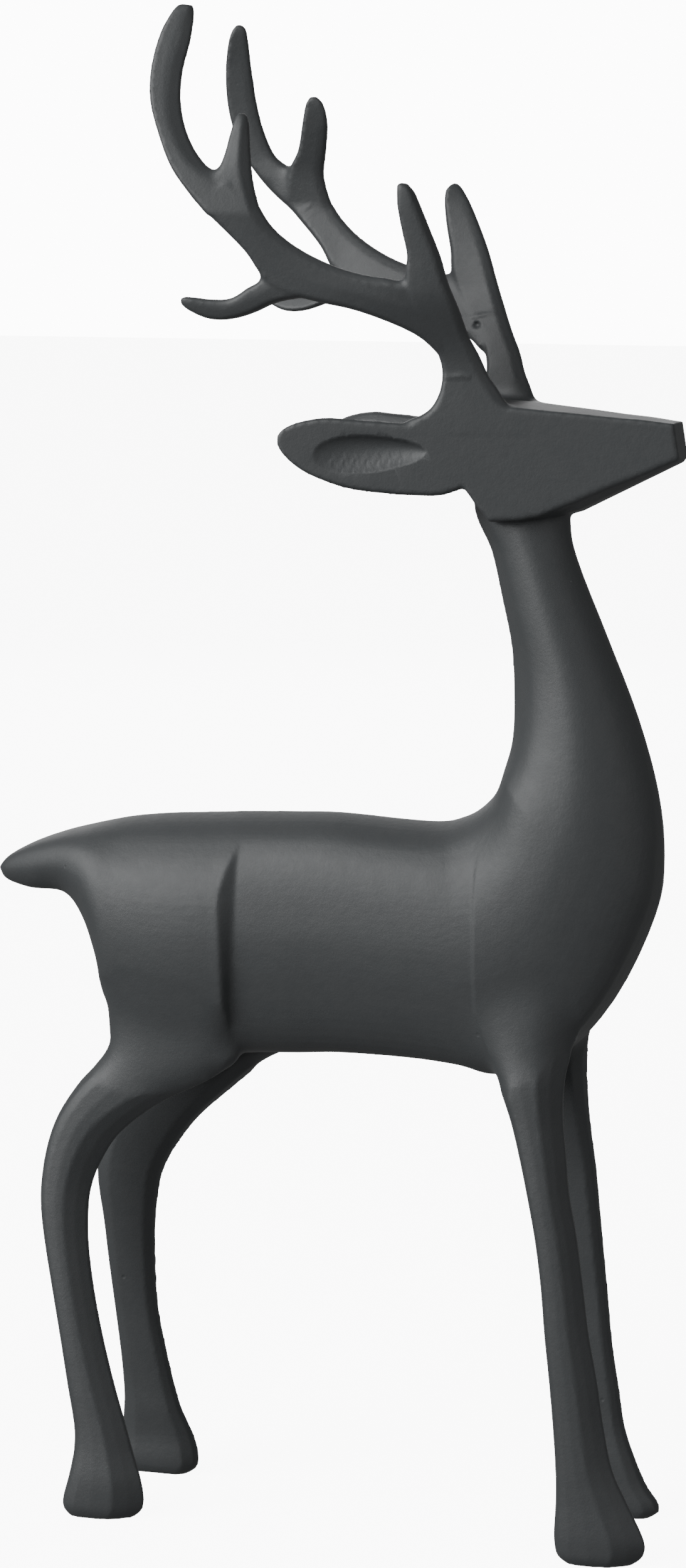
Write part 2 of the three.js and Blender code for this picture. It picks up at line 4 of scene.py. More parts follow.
import bmesh
import bpy
import numpy as np
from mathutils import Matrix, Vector


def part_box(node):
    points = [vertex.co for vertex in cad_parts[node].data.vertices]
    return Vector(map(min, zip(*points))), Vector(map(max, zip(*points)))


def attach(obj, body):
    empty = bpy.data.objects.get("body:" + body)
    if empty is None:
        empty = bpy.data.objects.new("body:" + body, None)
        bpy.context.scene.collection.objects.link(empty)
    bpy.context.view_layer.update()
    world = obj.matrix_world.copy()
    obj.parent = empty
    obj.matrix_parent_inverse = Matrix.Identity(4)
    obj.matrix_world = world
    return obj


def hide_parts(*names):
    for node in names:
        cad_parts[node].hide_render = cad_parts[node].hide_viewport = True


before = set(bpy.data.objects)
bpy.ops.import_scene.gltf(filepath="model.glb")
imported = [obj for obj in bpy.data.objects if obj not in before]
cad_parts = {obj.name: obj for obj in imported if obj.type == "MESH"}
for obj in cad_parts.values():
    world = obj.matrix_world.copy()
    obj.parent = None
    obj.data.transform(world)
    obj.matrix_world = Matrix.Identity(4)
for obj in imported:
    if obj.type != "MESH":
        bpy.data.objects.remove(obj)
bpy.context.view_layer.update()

# Reindeer casting: trunk, neck and tail.
# The figure is one sand casting in aluminium. Its pattern is built up here limb by limb, starting with the
# trunk, which has a soft-edged back, a flat haunch with a step at its front, and a long neck.
low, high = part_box("reindeer")
UNIT = (high[2] - low[2]) / 972.5
TAIL_X = -236


def in_metres(x, y, z):
    """A point of the side view, in thousandths, as a place in the model."""
    return (low[0] + (x - TAIL_X) * UNIT, y * UNIT, z * UNIT)


def smooth_rows(rows, steps):
    """Rows of numbers with a few more between each two, on a smooth curve through all of them."""
    rows = np.array(rows, float)
    ends = np.vstack([2 * rows[0] - rows[1], rows, 2 * rows[-1] - rows[-2]])
    out = []
    for i in range(len(rows) - 1):
        a, b, c, d = ends[i : i + 4]
        for k in range(steps):
            t = k / steps
            square, cube = 2 * a - 5 * b + 4 * c - d, 3 * b - 3 * c + d - a
            out.append(0.5 * (2 * b + (c - a) * t + square * t**2 + cube * t**3))
    return np.vstack([out, rows[-1]])


def limb(name, rings):
    """A limb drawn out of its first section, ring by ring."""
    bpy.ops.object.select_all(action="DESELECT")
    bpy.ops.mesh.primitive_circle_add(vertices=len(rings[0]), radius=0.01, fill_type="NGON")
    drawn = bpy.context.object
    drawn.name = name
    bpy.ops.object.mode_set(mode="EDIT")
    for number, ring in enumerate(rings):
        if number:
            bpy.ops.mesh.extrude_region()
        cage = bmesh.from_edit_mesh(drawn.data)
        end = sorted((v for v in cage.verts if v.select), key=lambda v: v.index)
        for vertex, point in zip(end, ring):
            vertex.co = in_metres(*point)
        bmesh.update_edit_mesh(drawn.data)
    bpy.ops.mesh.select_all(action="SELECT")
    bpy.ops.mesh.normals_make_consistent(inside=False)
    bpy.ops.object.mode_set(mode="OBJECT")
    return drawn


# Each row: back x and z, belly or chest x and z, half width, form of the sides (1 haunch, 0 flank, -1 neck)
TRUNK = [
    (-236, 417.5, -236, 414, 3, 0),
    (-228, 425.4, -230, 408, 11, 0),
    (-209, 435.4, -212, 403.5, 20, 0),
    (-187, 443.4, -186, 402.3, 29, 0.2),
    (-170, 448, -170, 386, 37, 0.5),
    (-157, 451.2, -158, 357, 43.5, 0.85),
    (-141, 454.5, -149.5, 322, 47.5, 1),
    (-118, 457.3, -123, 305.5, 50, 1),
    (-96, 458.8, -97, 302, 50.8, 1),
    (-80, 459.8, -81, 302, 50.6, 1),
    (-74, 460.2, -75, 302, 50.4, 1),
    (-68, 460.7, -69, 302, 50.3, 1),
    (-62, 461, -63, 302.2, 50, 1),
    (-56, 461.3, -57, 302.8, 43, 0),
    (-50, 461.5, -51, 303.2, 43, 0),
    (-30, 462.3, -30, 304.3, 43, 0),
    (0, 463, 0, 306.3, 43.2, 0),
    (45, 460.5, 47, 306, 44.8, 0.1),
    (68, 460.5, 84, 303.6, 46.3, 0.35),
    (80, 463.5, 110, 299.8, 47, 0.7),
    (91, 469, 145, 312, 47.3, 0.8),
    (102, 480, 179.5, 350, 47, 0.5),
    (108.2, 497, 205.4, 404, 44.7, 0),
    (112.8, 516, 211.2, 440, 41, -0.4),
    (113.4, 542, 207.8, 482, 35.5, -0.8),
    (111.7, 573, 194.5, 530, 30, -1),
    (105.2, 604, 173.5, 582, 26, -1),
    (98, 634, 154.5, 628, 23, -1),
    (87.5, 657, 149.5, 652, 21.5, -1),
    (84, 690, 151, 690, 18, -1),
]
# Each row of a side: share of the way from the back to the belly, share of the half width
HAUNCH_SIDE = [
    (0, 0),
    (0.01, 0.12),
    (0.03, 0.283),
    (0.06, 0.446),
    (0.09, 0.557),
    (0.12, 0.64),
    (0.16, 0.735),
    (0.21, 0.828),
    (0.27, 0.905),
    (0.34, 0.963),
    (0.42, 0.993),
    (0.49, 1),
    (0.56, 0.99),
    (0.63, 0.966),
    (0.7, 0.928),
    (0.78, 0.875),
    (0.86, 0.812),
    (0.93, 0.745),
    (0.975, 0.62),
    (1, 0),
]
FLANK_SIDE = [
    (0, 0),
    (0.01, 0.14),
    (0.03, 0.33),
    (0.06, 0.52),
    (0.09, 0.65),
    (0.12, 0.735),
    (0.16, 0.82),
    (0.21, 0.888),
    (0.27, 0.94),
    (0.34, 0.975),
    (0.42, 0.997),
    (0.49, 1),
    (0.56, 0.98),
    (0.63, 0.945),
    (0.7, 0.895),
    (0.78, 0.825),
    (0.86, 0.725),
    (0.93, 0.585),
    (0.975, 0.39),
    (1, 0),
]
NECK_SIDE = [
    (0, 0),
    (0.015, 0.07),
    (0.05, 0.2),
    (0.1, 0.37),
    (0.15, 0.54),
    (0.2, 0.68),
    (0.235, 0.755),
    (0.28, 0.825),
    (0.34, 0.895),
    (0.41, 0.955),
    (0.49, 0.995),
    (0.56, 0.995),
    (0.64, 0.955),
    (0.71, 0.885),
    (0.78, 0.785),
    (0.85, 0.65),
    (0.91, 0.49),
    (0.955, 0.33),
    (0.985, 0.18),
    (1, 0),
]
# The step at the front of the haunch lies between STEP_START and STEP_END. At three shares of the way down,
# STEP_CREASE is where its foot meets the flank, and STEP_SLOPE is how steeply it rises from there.
STEP_START, STEP_END = -76, -50.5
HAUNCH_HALF_WIDTH, FLANK_HALF_WIDTH = 50.4, 43
STEP_SHARES = [0.3, 0.6, 0.87]
STEP_CREASE = [-59.8, -61.2, -65]
STEP_SLOPE = [0.71, 1.5, 3.2]
haunch, flank, neck = (smooth_rows(rows, 2) for rows in (HAUNCH_SIDE, FLANK_SIDE, NECK_SIDE))
trunk_rings = []
for ax, az, bx, bz, half, form in smooth_rows(TRUNK, 4):
    if form > 0:
        side = flank + (haunch - flank) * min(1, form)
    else:
        side = flank + (neck - flank) * -max(-1, form)
    share, out = side[:, 0], side[:, 1] * half
    if STEP_START < ax < STEP_END:
        share, face = haunch[:, 0], haunch[:, 1] * HAUNCH_HALF_WIDTH
        level = np.interp(share, flank[:, 0], flank[:, 1]) * FLANK_HALF_WIDTH
        crease = np.interp(share, STEP_SHARES, STEP_CREASE)
        slope = np.interp(share, STEP_SHARES, STEP_SLOPE)
        out = np.minimum(face, level + slope * np.maximum(0, crease - (ax + (bx - ax) * share)))
    section = [*zip(share, out), *zip(share[-2:0:-1], -out[-2:0:-1])]
    trunk_rings.append([(ax + (bx - ax) * a, o, az + (bz - az) * a) for a, o in section])
pattern = [limb("trunk", trunk_rings)]

# Reindeer casting: legs.
# Four slim legs in walking stride, each with a flat outer face that breaks along a clear edge into a front
# bevel, and a flared hoof with a flat sole.
RIGHT, LEFT = -1, 1
# Each row: back x and z, front x and z, middle of the leg outwards, half thickness, place of the front edge
RIGHT_HIND_LEG = [
    (-155.4, 372, -83.4, 376, 15, 15, 0.9),
    (-154.5, 345, -76.5, 350, 19, 16.5, 0.92),
    (-152.3, 324, -67.3, 325, 24.3, 14.2, 0.92),
    (-151.5, 308, -59.8, 303, 26, 13, 0.84),
    (-159.4, 295, -82.7, 288, 27.5, 12.3, 0.76),
    (-171.7, 281, -115.5, 271, 29.2, 12, 0.68),
    (-183.9, 262, -141.2, 251, 31.2, 11.7, 0.62),
    (-190.9, 242, -154.4, 232, 33.4, 11.5, 0.6),
    (-194.2, 219, -161.2, 214, 36.2, 11.2, 0.6),
    (-193.9, 199, -162.9, 197, 38.6, 11, 0.6),
    (-190, 175, -161.5, 173, 41.4, 10.5, 0.6),
    (-183.7, 145, -156.2, 143, 44.8, 10.2, 0.6),
    (-177.6, 115, -149.1, 114, 47.7, 10, 0.6),
    (-172, 85, -141, 86, 50, 10, 0.62),
    (-167.2, 60, -132.8, 61, 51.8, 10, 0.64),
    (-166.9, 44, -127.5, 44, 53, 10.5, 0.66),
    (-170.2, 26, -121.3, 27, 55, 11, 0.68),
    (-174.2, 12, -118.8, 13, 55, 11.5, 0.68),
    (-174.2, 5, -120.8, 5, 55, 11, 0.68),
    (-170.2, 0, -126.8, 0, 55, 9, 0.68),
]
LEFT_HIND_LEG = [
    (-148.6, 372, -76.6, 376, 15, 15, 0.9),
    (-149.5, 345, -69.5, 350, 19, 16.5, 0.92),
    (-149.7, 324, -58.7, 325, 24.3, 14.2, 0.92),
    (-148.2, 309, -40.2, 305, 26, 13, 0.84),
    (-153.3, 296, -62.9, 291, 27.5, 12.3, 0.76),
    (-161.5, 280, -88.1, 270, 29.2, 12, 0.68),
    (-170.8, 261, -109.2, 251, 31.2, 11.7, 0.62),
    (-177.6, 240, -124.5, 232, 33.4, 11.5, 0.6),
    (-183.3, 219, -135.7, 213, 36.2, 11.2, 0.6),
    (-184.1, 199, -140.6, 196, 38.6, 11, 0.6),
    (-181.5, 174, -144, 172, 41.4, 10.5, 0.6),
    (-179.3, 144, -145.3, 143, 44.8, 10.2, 0.6),
    (-176.4, 114, -144.4, 113, 47.7, 10, 0.6),
    (-173.5, 84, -139.5, 84, 50, 10, 0.62),
    (-172, 60, -134.5, 60, 51.8, 10, 0.64),
    (-172.3, 44, -129.8, 44, 53, 10.5, 0.66),
    (-175, 26, -122.5, 27, 55, 11, 0.68),
    (-177, 12, -119, 13, 55, 11.5, 0.68),
    (-176, 5, -120.5, 5, 55, 11, 0.68),
    (-171, 0, -127, 0, 55, 9, 0.68),
]
RIGHT_FORE_LEG = [
    (104, 400, 150, 404, 18, 18, 0.4),
    (101, 372, 164, 376, 22, 19.5, 0.5),
    (100, 345, 168, 350, 25.5, 18.8, 0.66),
    (106, 322, 161, 324, 30, 16.5, 0.68),
    (115, 301, 157, 303, 35, 15.5, 0.68),
    (124, 279, 157, 280, 38, 14, 0.66),
    (131, 255, 160, 257, 41, 13, 0.64),
    (137, 231, 163, 233, 44, 12, 0.64),
    (142.5, 205, 168.5, 207, 46, 11.5, 0.64),
    (147, 175, 173.5, 176, 48, 11, 0.64),
    (150, 145, 178, 146, 50, 10.5, 0.64),
    (153.5, 115, 184, 116, 51, 10.5, 0.64),
    (156.5, 85, 189, 86, 52, 10.5, 0.64),
    (158.5, 58, 195, 60, 53, 10.5, 0.64),
    (158.5, 38, 205, 39, 53, 11, 0.66),
    (157.5, 20, 214.5, 21, 53.5, 11.5, 0.68),
    (158, 10, 217, 12, 53.5, 11.5, 0.68),
    (160, 4, 214.5, 5, 53.5, 11, 0.68),
    (165, 0, 208, 0, 53.5, 9, 0.68),
]
LEFT_FORE_LEG = [
    (104, 400, 150, 404, 18, 18, 0.4),
    (101, 372, 164, 376, 22, 19.5, 0.5),
    (100, 345, 166, 350, 25.5, 18.8, 0.66),
    (103, 322, 158.5, 324, 30, 16.5, 0.68),
    (107, 302, 154.5, 303, 35, 15.5, 0.68),
    (114, 279, 154.5, 280, 38, 14, 0.66),
    (120, 255, 156, 257, 41, 13, 0.64),
    (125, 231, 158.5, 233, 44, 12, 0.64),
    (129, 205, 160.5, 207, 46, 11.5, 0.64),
    (133, 175, 163, 176, 48, 11, 0.64),
    (136, 145, 165.5, 146, 50, 10.5, 0.64),
    (139, 115, 168.1, 116, 51, 10.5, 0.64),
    (141, 85, 172.6, 86, 52, 10.5, 0.64),
    (142.5, 58, 176.5, 60, 53, 10.5, 0.64),
    (142.5, 38, 183.7, 39, 53, 11, 0.66),
    (141.5, 20, 191.7, 21, 53.5, 11.5, 0.68),
    (142, 10, 198.5, 12, 53.5, 11.5, 0.68),
    (144, 4, 200, 5, 53.5, 11, 0.68),
    (149, 0, 194, 0, 53.5, 9, 0.68),
]
# Just below the haunch the hind legs' bevel is shallow, and it steepens down to the hock.
HOCK_HEIGHT, SHALLOW_HEIGHT = 235, 60
for name, stations, side in (
    ("right_hind_leg", RIGHT_HIND_LEG, RIGHT),
    ("left_hind_leg", LEFT_HIND_LEG, LEFT),
    ("right_fore_leg", RIGHT_FORE_LEG, RIGHT),
    ("left_fore_leg", LEFT_FORE_LEG, LEFT),
):
    leg_rings = []
    for ax, az, bx, bz, out, half, edge in smooth_rows(stations, 4):
        shallow = 0
        if stations in (RIGHT_HIND_LEG, LEFT_HIND_LEG):
            shallow = min(1, max(0, (az - HOCK_HEIGHT) / SHALLOW_HEIGHT))
        section = [
            (0, -0.1),
            (0.03, 0.45),
            (0.1, 0.84),
            (0.21, 1.01),
            (0.42, 1.04),
            (edge, 0.95),
            (edge + 0.5 * (1 - edge), 0.48 + 0.2 * shallow),
            (1, -0.15 + 0.4 * shallow),
            (0.96, -0.62),
            (0.84, -1),
            (0.25, -1),
            (0.08, -0.7),
        ]
        ring = [(ax + (bx - ax) * a, side * (out + half * o), az + (bz - az) * a) for a, o in section]
        leg_rings.append(ring)
    pattern.append(limb(name, leg_rings))

# Reindeer casting: head.
# A slab-sided wedge with sharp top and jaw edges. Its flat sides splay towards the back and run on through
# the ears.
# Each row: x at the jaw and at the top, z under the jaw, of the jaw's edge, of the top edge and of the crown
HEAD = [
    (86, 78, 690, 690, 715, 717),
    (90, 82, 674.5, 676.5, 722.5, 727),
    (98, 92, 663, 665, 725.5, 728.5),
    (106, 104, 653, 655, 725.5, 728.5),
    (124, 122, 652, 656, 724.5, 727.5),
    (136, 137, 653.5, 658.5, 723, 726),
    (158, 160, 660, 667.5, 721, 723.7),
    (178, 180, 670, 676.5, 719, 721.3),
    (199, 200, 680.5, 685, 717.5, 719.2),
    (216, 212, 689, 692.5, 716, 717.4),
    (222, 218, 692, 695, 715.5, 716.6),
]


def side_plane(x):
    """How far out the flat sides of the head and ears are: 35 at x 100, and more behind it."""
    return 35 + 0.185 * (100 - x)


head_rings = []
for jaw_x, top_x, under, jaw, top, crown in HEAD:
    side = [
        (0, crown),
        (0.5, crown - 0.35 * (crown - top)),
        (0.96, top + 0.8),
        (1, top - 0.8),
        (1, jaw + 0.8),
        (0.95, jaw - 0.8),
        (0.5, jaw - 0.8 * (jaw - under)),
        (0, under),
    ]
    ring = []
    for out, z in [*side, *[(-out, z) for out, z in side[-2:0:-1]]]:
        x = jaw_x + (top_x - jaw_x) * (z - under) / (crown - under)
        ring.append((x, out * side_plane(x), z))
    head_rings.append(ring)
pattern.append(limb("head", head_rings))

# Reindeer casting: ears.
# Long leaves that carry the side planes of the head backwards, flat outside and rounded behind.
# Each row: x, bottom z, top z
EAR = [
    (100, 679, 711),
    (78, 670.5, 715),
    (60, 669.8, 714.7),
    (40, 671, 715.7),
    (20, 673.5, 717),
    (5, 678, 717.8),
    (-8, 683.8, 715.8),
    (-16.5, 690, 713.1),
    (-22, 696, 709.8),
    (-24.8, 701, 705.8),
]
EAR_THICKNESS = 11
EAR_HALF = EAR_THICKNESS / 2
# Share of the way from the bottom to the top, share of the half thickness outwards
EAR_SECTION = [
    (0, 0.5),
    (0.04, 1),
    (0.96, 1),
    (1, 0.5),
    (0.97, -0.1),
    (0.85, -0.7),
    (0.65, -1),
    (0.35, -1),
    (0.15, -0.7),
    (0.03, -0.1),
]
for name, side in (("right_ear", RIGHT), ("left_ear", LEFT)):
    ear_rings = []
    for x, bottom, top in smooth_rows(EAR, 4):
        out = side_plane(x) - EAR_HALF
        # The left ear's upper edge runs a little lower than the right one's.
        tall = top - 0.5 - side - bottom
        ear_rings.append([(x, side * (out + EAR_HALF * o), bottom + tall * a) for a, o in EAR_SECTION])
    pattern.append(limb(name, ear_rings))

# Reindeer casting: antlers.
# Thick bevelled plates with a brow tine, a back tine and two upper tines. They splay as they sweep back and
# lean out as they rise, and the left one has its own hand-finished stem, back tine and tips.
# Each row: front or upper x and z, rear or lower x and z, half thickness, tilt and bevel of the outer face
STEM = [
    (138, 708, 46, 710, 6, 0, 5),
    (130, 717, 56, 716.5, 6, 0, 5),
    (122.5, 724, 64.5, 720, 6, 0, 5),
    (116, 730, 70.2, 724, 6, 0, 5),
    (111.5, 737, 74.7, 730.5, 6, 0, 5),
    (106.2, 745, 77.7, 739, 6, 0, 4.5),
    (101.7, 756, 78.2, 751, 6.1, 0, 4),
    (95, 770, 72.5, 768, 6.3, 0, 3.2),
    (90, 786, 62.5, 789, 6.5, 0, 2.8),
    (84, 802, 58, 806, 6.5, 0.05, 2.8),
    (80, 818, 59.8, 819, 6.4, 0.08, 2.8),
    (74.3, 834, 57.3, 834, 6.2, 0.08, 2.8),
    (69.2, 848, 55.2, 848, 5.9, 0.08, 2.6),
    (65.5, 857.3, 55, 859.5, 5.2, 0.08, 2),
    (62.7, 861, 56.2, 863.3, 3.8, 0, 1.4),
    (61.5, 863, 59, 863, 1.6, 0, 0.6),
]
LEFT_STEM = [
    (138, 708, 46, 710, 6, 0, 5),
    (129, 717, 56, 716.5, 6, 0, 5),
    (121.5, 724, 64.5, 720, 6, 0, 5),
    (115.5, 730, 71.5, 724, 6, 0, 5),
    (112, 737, 77, 730.5, 6, 0, 5),
    (108.4, 745, 82, 739, 6, 0, 4.5),
    (105, 756, 82.8, 751, 6.1, 0, 4),
    (98.5, 770, 77, 768, 6.3, 0, 3.2),
    (92, 786, 63, 789, 6.5, 0, 2.8),
    (86, 802, 55.5, 806, 6.5, 0, 2.8),
    (80.5, 818, 54.5, 819, 6.4, 0, 2.8),
    (73.5, 834, 51.2, 834, 6.2, 0, 2.8),
    (66.5, 848, 49.2, 848, 5.9, 0, 2.6),
    (61.5, 856, 49.5, 856.5, 5.2, 0, 2),
    (58.5, 859.8, 52, 859.8, 3.8, 0, 1.4),
    (56.3, 861.4, 53.8, 861.4, 1.6, 0, 0.6),
]
BEAM = [
    (78, 800, 80, 754, 6, -0.1, 3.4),
    (56, 804, 63, 770, 6.4, -0.15, 3.6),
    (33, 807, 30, 784, 6.4, -0.18, 3.8),
    (12, 813.5, 2, 790.5, 6.4, -0.18, 3.8),
    (-8, 824, -24, 799, 6.4, -0.15, 4),
    (-22, 836, -38, 820, 6.4, -0.1, 4.5),
    (-31, 850, -56, 839, 6.4, 0, 5),
    (-44, 866, -70.5, 853, 6.4, 0.1, 5.5),
]
LEFT_BEAM = [
    *BEAM[:5],
    (-23, 836, -38, 820, 6.4, -0.1, 4.5),
    (-33.5, 849, -56, 839, 6.4, 0, 5),
    (-45, 865, -70.5, 853, 6.4, 0.1, 5.5),
]
BACK_TINE = [
    (6, 812, 4, 794, 6, -0.15, 3),
    (-22, 808.5, -20, 790, 6.2, -0.15, 3),
    (-36, 800.5, -36, 783, 5.8, -0.15, 3),
    (-49, 792.3, -50, 779, 5.4, -0.15, 3),
    (-62, 791.5, -63, 779, 5, -0.15, 2.5),
    (-73, 792.8, -74, 783.5, 4.2, -0.1, 2),
    (-78.5, 793, -79.5, 787.5, 2.8, 0, 1),
    (-80.5, 791.5, -80.8, 789.8, 1.4, 0, 0.5),
]
LEFT_BACK_TINE = [
    BACK_TINE[0],
    (-22, 804, -20, 790, 6.2, -0.15, 3),
    (-36, 797, -36, 783, 5.8, -0.15, 3),
    *BACK_TINE[3:],
]
RIGHT_TOP_TINE = [
    (-36, 850, -61, 843, 6.4, 0, 5),
    (-54.5, 867.5, -73.6, 857, 6.4, -0.05, 5.5),
    (-68, 877.5, -85.3, 872.5, 6.4, -0.05, 6),
    (-78, 894, -94.1, 892, 6.2, -0.12, 6),
    (-83, 913, -101.3, 914, 5.8, -0.12, 6),
    (-83, 932, -102, 935, 5.5, -0.12, 5.5),
    (-79.5, 951, -98, 955, 5.2, -0.12, 5),
    (-78.7, 965, -92, 967.5, 4.6, -0.12, 3.5),
    (-79.5, 971, -88.5, 972, 3.2, 0, 1.4),
    (-82.5, 972.1, -86.5, 972.5, 1.4, 0, 0.6),
]
RIGHT_SECOND_TINE = [
    (-28, 842, -64, 850, 6.4, 0, 5),
    (-34.5, 862, -60, 866, 6.2, 0.08, 5.5),
    (-37.5, 879, -54, 878, 5.8, 0.16, 5.5),
    (-39, 892, -51, 892, 5, 0.16, 4),
    (-40.5, 901.5, -48.8, 901.5, 3.8, 0.1, 2.5),
    (-43, 905.5, -47, 905.5, 2, 0, 1),
]
LEFT_TOP_TINE = [
    (-36, 850, -60, 843, 6.4, 0, 5),
    (-55, 868, -76, 857, 6.4, 0.04, 5.5),
    (-70, 877, -90, 875, 6.4, 0.08, 6),
    (-77.5, 893, -98, 893, 6.2, 0.1, 6),
    (-81.3, 911, -101.5, 912, 5.8, 0.1, 6),
    (-83, 930, -101, 932, 5.5, 0.1, 5.5),
    (-84, 947, -98, 948, 5.2, 0.1, 5),
    (-84.5, 957, -95, 956.5, 4.2, 0.05, 3),
    (-86.5, 960.8, -92, 960.5, 2.8, 0, 1.2),
    (-88.5, 962, -90.5, 962, 1.4, 0, 0.5),
]
LEFT_SECOND_TINE = [
    (-31, 842, -66, 850, 6.4, 0, 5),
    (-36.5, 864, -62, 868, 6.2, 0.08, 5.5),
    (-33.5, 882, -53, 881, 5.8, 0.12, 5.5),
    (-31, 899, -48, 900, 5, 0.12, 4),
    (-33, 911, -45, 911, 3.8, 0.1, 2.5),
    (-37, 916, -41.5, 916, 2, 0, 1),
]


# Where the middle plane of an antler starts on the head, and its splay and lean from there
ANTLER_ROOT_X, ANTLER_ROOT_HEIGHT, ANTLER_ROOT_OUT = 100, 740, 38
ANTLER_SPLAY, ANTLER_LEAN = 0.184, 0.12
# The root is tucked in towards the head below TUCK_TOP, and the upper tines lean in again above TINE_HEIGHT.
TUCK_TOP, TUCK_HEIGHT, TUCK_REACH, TUCK_SHIFT = 800, 58, 8.7, 0.26
TINE_HEIGHT, TINE_LEAN = 845, 0.35
# The inner bevel, and the twist of the inner face above the beam's height
INNER_BEVEL, MOST_BEVEL = 5.5, 0.35
TWIST, TWIST_FROM, TWIST_HEIGHT = 0.16, 790, 40


def antler_out(x, z):
    """How far out an antler's middle plane is, and how much of that it loses towards its root."""
    near_root = min(1, max(0, TUCK_TOP - z) / TUCK_HEIGHT)
    rise = ANTLER_LEAN * (z - ANTLER_ROOT_HEIGHT)
    tuck = max(0, TUCK_REACH + rise) * near_root * near_root * (3 - 2 * near_root)
    lean = TINE_LEAN * max(0, z - TINE_HEIGHT) if x < 0 else 0
    return ANTLER_ROOT_OUT + ANTLER_SPLAY * (ANTLER_ROOT_X - x) + rise - lean - tuck, tuck


for side, branches in (
    (RIGHT, (STEM, BEAM, BACK_TINE, RIGHT_TOP_TINE, RIGHT_SECOND_TINE)),
    (LEFT, (LEFT_STEM, LEFT_BEAM, LEFT_BACK_TINE, LEFT_TOP_TINE, LEFT_SECOND_TINE)),
):
    for stations in branches:
        tine_rings = []
        for ax, az, bx, bz, thick, tilt, bevel in smooth_rows(stations, 4):
            width = math.hypot(ax - bx, az - bz)
            outer, inner = min(MOST_BEVEL, bevel / width), min(MOST_BEVEL, INNER_BEVEL / width)
            twist = TWIST * min(1, max(0, az - TWIST_FROM) / TWIST_HEIGHT)
            ring = []
            for a, o in (
                (0, 0.4),
                (outer, 1 + 0.8 * tilt),
                (0.5, 1.03),
                (0.9, 0.98 - 0.8 * tilt),
                (0.98, 0.6 - 0.6 * tilt),
                (1, 0.1),
                (1, -0.4),
                (0.95, -0.85),
                (0.86, -1.12 - twist),
                (inner, -0.86 + twist),
                (0.2 * inner, -0.35),
                (0, -0.15),
            ):
                x, z = ax + (bx - ax) * a, az + (bz - az) * a
                out, tuck = antler_out(x, z)
                ring.append((x + side * TUCK_SHIFT * tuck, side * (out + thick * o), z))
            tine_rings.append(ring)
        pattern.append(limb("tine", tine_rings))

# Reindeer casting: the cast body.
# The pattern's limbs become one skin, with the fillets that the founder works into every fork.
VOXEL = 0.00052
MOST_TRIANGLES = 190000
bpy.ops.object.select_all(action="DESELECT")
for drawn in pattern:
    drawn.select_set(True)
bpy.context.view_layer.objects.active = pattern[0]
bpy.ops.object.join()
casting = bpy.context.object
casting.name = "reindeer_casting"
bpy.ops.object.transform_apply(location=True, rotation=True, scale=True)
skin = casting.modifiers.new("skin", "REMESH")
skin.mode = "VOXEL"
skin.voxel_size = VOXEL
skin.adaptivity = 0
bpy.ops.object.modifier_apply(modifier=skin.name)
settle = casting.modifiers.new("settle", "SMOOTH")
settle.factor = 0.5
settle.iterations = 3
bpy.ops.object.modifier_apply(modifier=settle.name)


def read_skin():
    """Places and normals of the casting's vertices, in thousandths of the side view, and its edges."""
    count = len(casting.data.vertices)
    place, normal = np.empty(count * 3), np.empty(count * 3)
    casting.data.vertices.foreach_get("co", place)
    casting.data.vertices.foreach_get("normal", normal)
    edges = np.empty(len(casting.data.edges) * 2, int)
    casting.data.edges.foreach_get("vertices", edges)
    place = place.reshape(-1, 3)
    place = np.stack([(place[:, 0] - low[0]) / UNIT + TAIL_X, place[:, 1] / UNIT, place[:, 2] / UNIT], 1)
    return place, normal.reshape(-1, 3), edges.reshape(-1, 2)


def sum_around(values):
    """For each vertex, the sum of its neighbours' values."""
    first, second = edges[:, 0], edges[:, 1]
    return np.bincount(first, values[second], count) + np.bincount(second, values[first], count)


# Where limbs meet. Each row: x, z, least and most outwards, reach, width of the fillet in vertices, and
# whether only hollow places are filled
FORKS = [
    (-60, 868, 40, 90, 22, 7, True),
    (54, 811, 30, 80, 16, 5, True),
    (-33, 809, 40, 95, 18, 7, True),
    (68, 768, 30, 80, 26, 9, True),
    (66, 718, 20, 60, 14, 6, True),
    (112, 730, 15, 60, 22, 7, True),
    (-52, 304, 20, 60, 18, 9, False),
    (-120, 290, 10, 60, 60, 4, True),
    (-114, 316, 26, 60, 33, 15, False),
    (112, 312, 10, 60, 44, 10, True),
    (165, 335, 5, 60, 55, 10, True),
    (-150, 312, 10, 60, 34, 9, True),
    (84, 674, 15, 60, 14, 3, True),
    (128, 336, 28, 60, 26, 14, False),
    (116, 318, 28, 60, 18, 9, False),
]
place, normal, edges = read_skin()
count = len(place)
meeting = np.bincount(edges.ravel(), minlength=count)
around = np.stack([sum_around(place[:, k]) / meeting for k in range(3)], 1)
hollow = ((around - place) * normal).sum(1) > 0.05 * VOXEL / UNIT
